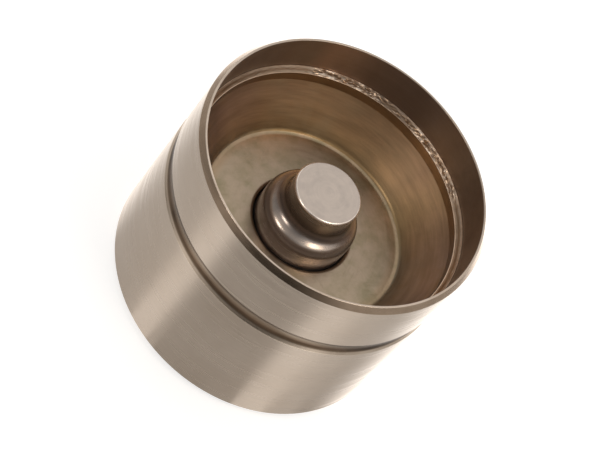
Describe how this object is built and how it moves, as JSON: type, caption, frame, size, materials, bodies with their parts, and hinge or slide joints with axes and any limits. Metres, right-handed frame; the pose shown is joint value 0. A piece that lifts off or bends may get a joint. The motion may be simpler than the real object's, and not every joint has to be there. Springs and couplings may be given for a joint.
{
  "type": "hydraulic bucket tappet",
  "caption": "Direct-acting hydraulic bucket tappet: steel bucket with oil groove, dished guide insert and a sprung sliding lash adjusting element with a nose for the valve stem.",
  "frame": {"origin": "centre of the crown's outer face, the closed end that the cam rubs on", "axes": "+Z along the tappet's axis, from the crown towards the open end; the oil feed hole faces +Y"},
  "size_m": [0.035, 0.035, 0.026],
  "materials": {
    "ground_steel": "ground",
    "drawn_sheet_steel": "deep drawn, heat tinted brown",
    "polished_steel": "polished",
    "ring_wire": "oiled spring wire",
    "lapped_steel": "lapped",
    "pressed_sheet_steel": "pressed",
    "bearing_steel": "mirror polished ball",
    "fine_spring_wire": "drawn spring wire",
    "spring_wire": "drawn spring wire"
  },
  "bodies": {
    "bucket": {"bucket_shell": "ground_steel", "guide_insert": "drawn_sheet_steel", "piston": "lapped_steel", "ball_cage": "pressed_sheet_steel", "ball_spring": "fine_spring_wire", "return_spring": "spring_wire"},
    "element": {"inner_housing": "polished_steel", "retaining_ring": "ring_wire"},
    "ball": {"check_ball": "bearing_steel"}
  },
  "joints": [
    {"name": "element_slide", "type": "slide", "parent": "bucket", "child": "element", "axis": [0, 0, 1], "range_m": [-0.0024, 0], "stiffness_N_per_m": 1000, "springref_m": 0.005, "deforming": ["return_spring"]},
    {"name": "ball_lift", "type": "slide", "parent": "bucket", "child": "ball", "axis": [0, 0, 1], "range_m": [0, 0.00025], "stiffness_N_per_m": 20, "springref_m": -0.001, "deforming": ["ball_spring"]}
  ]
}
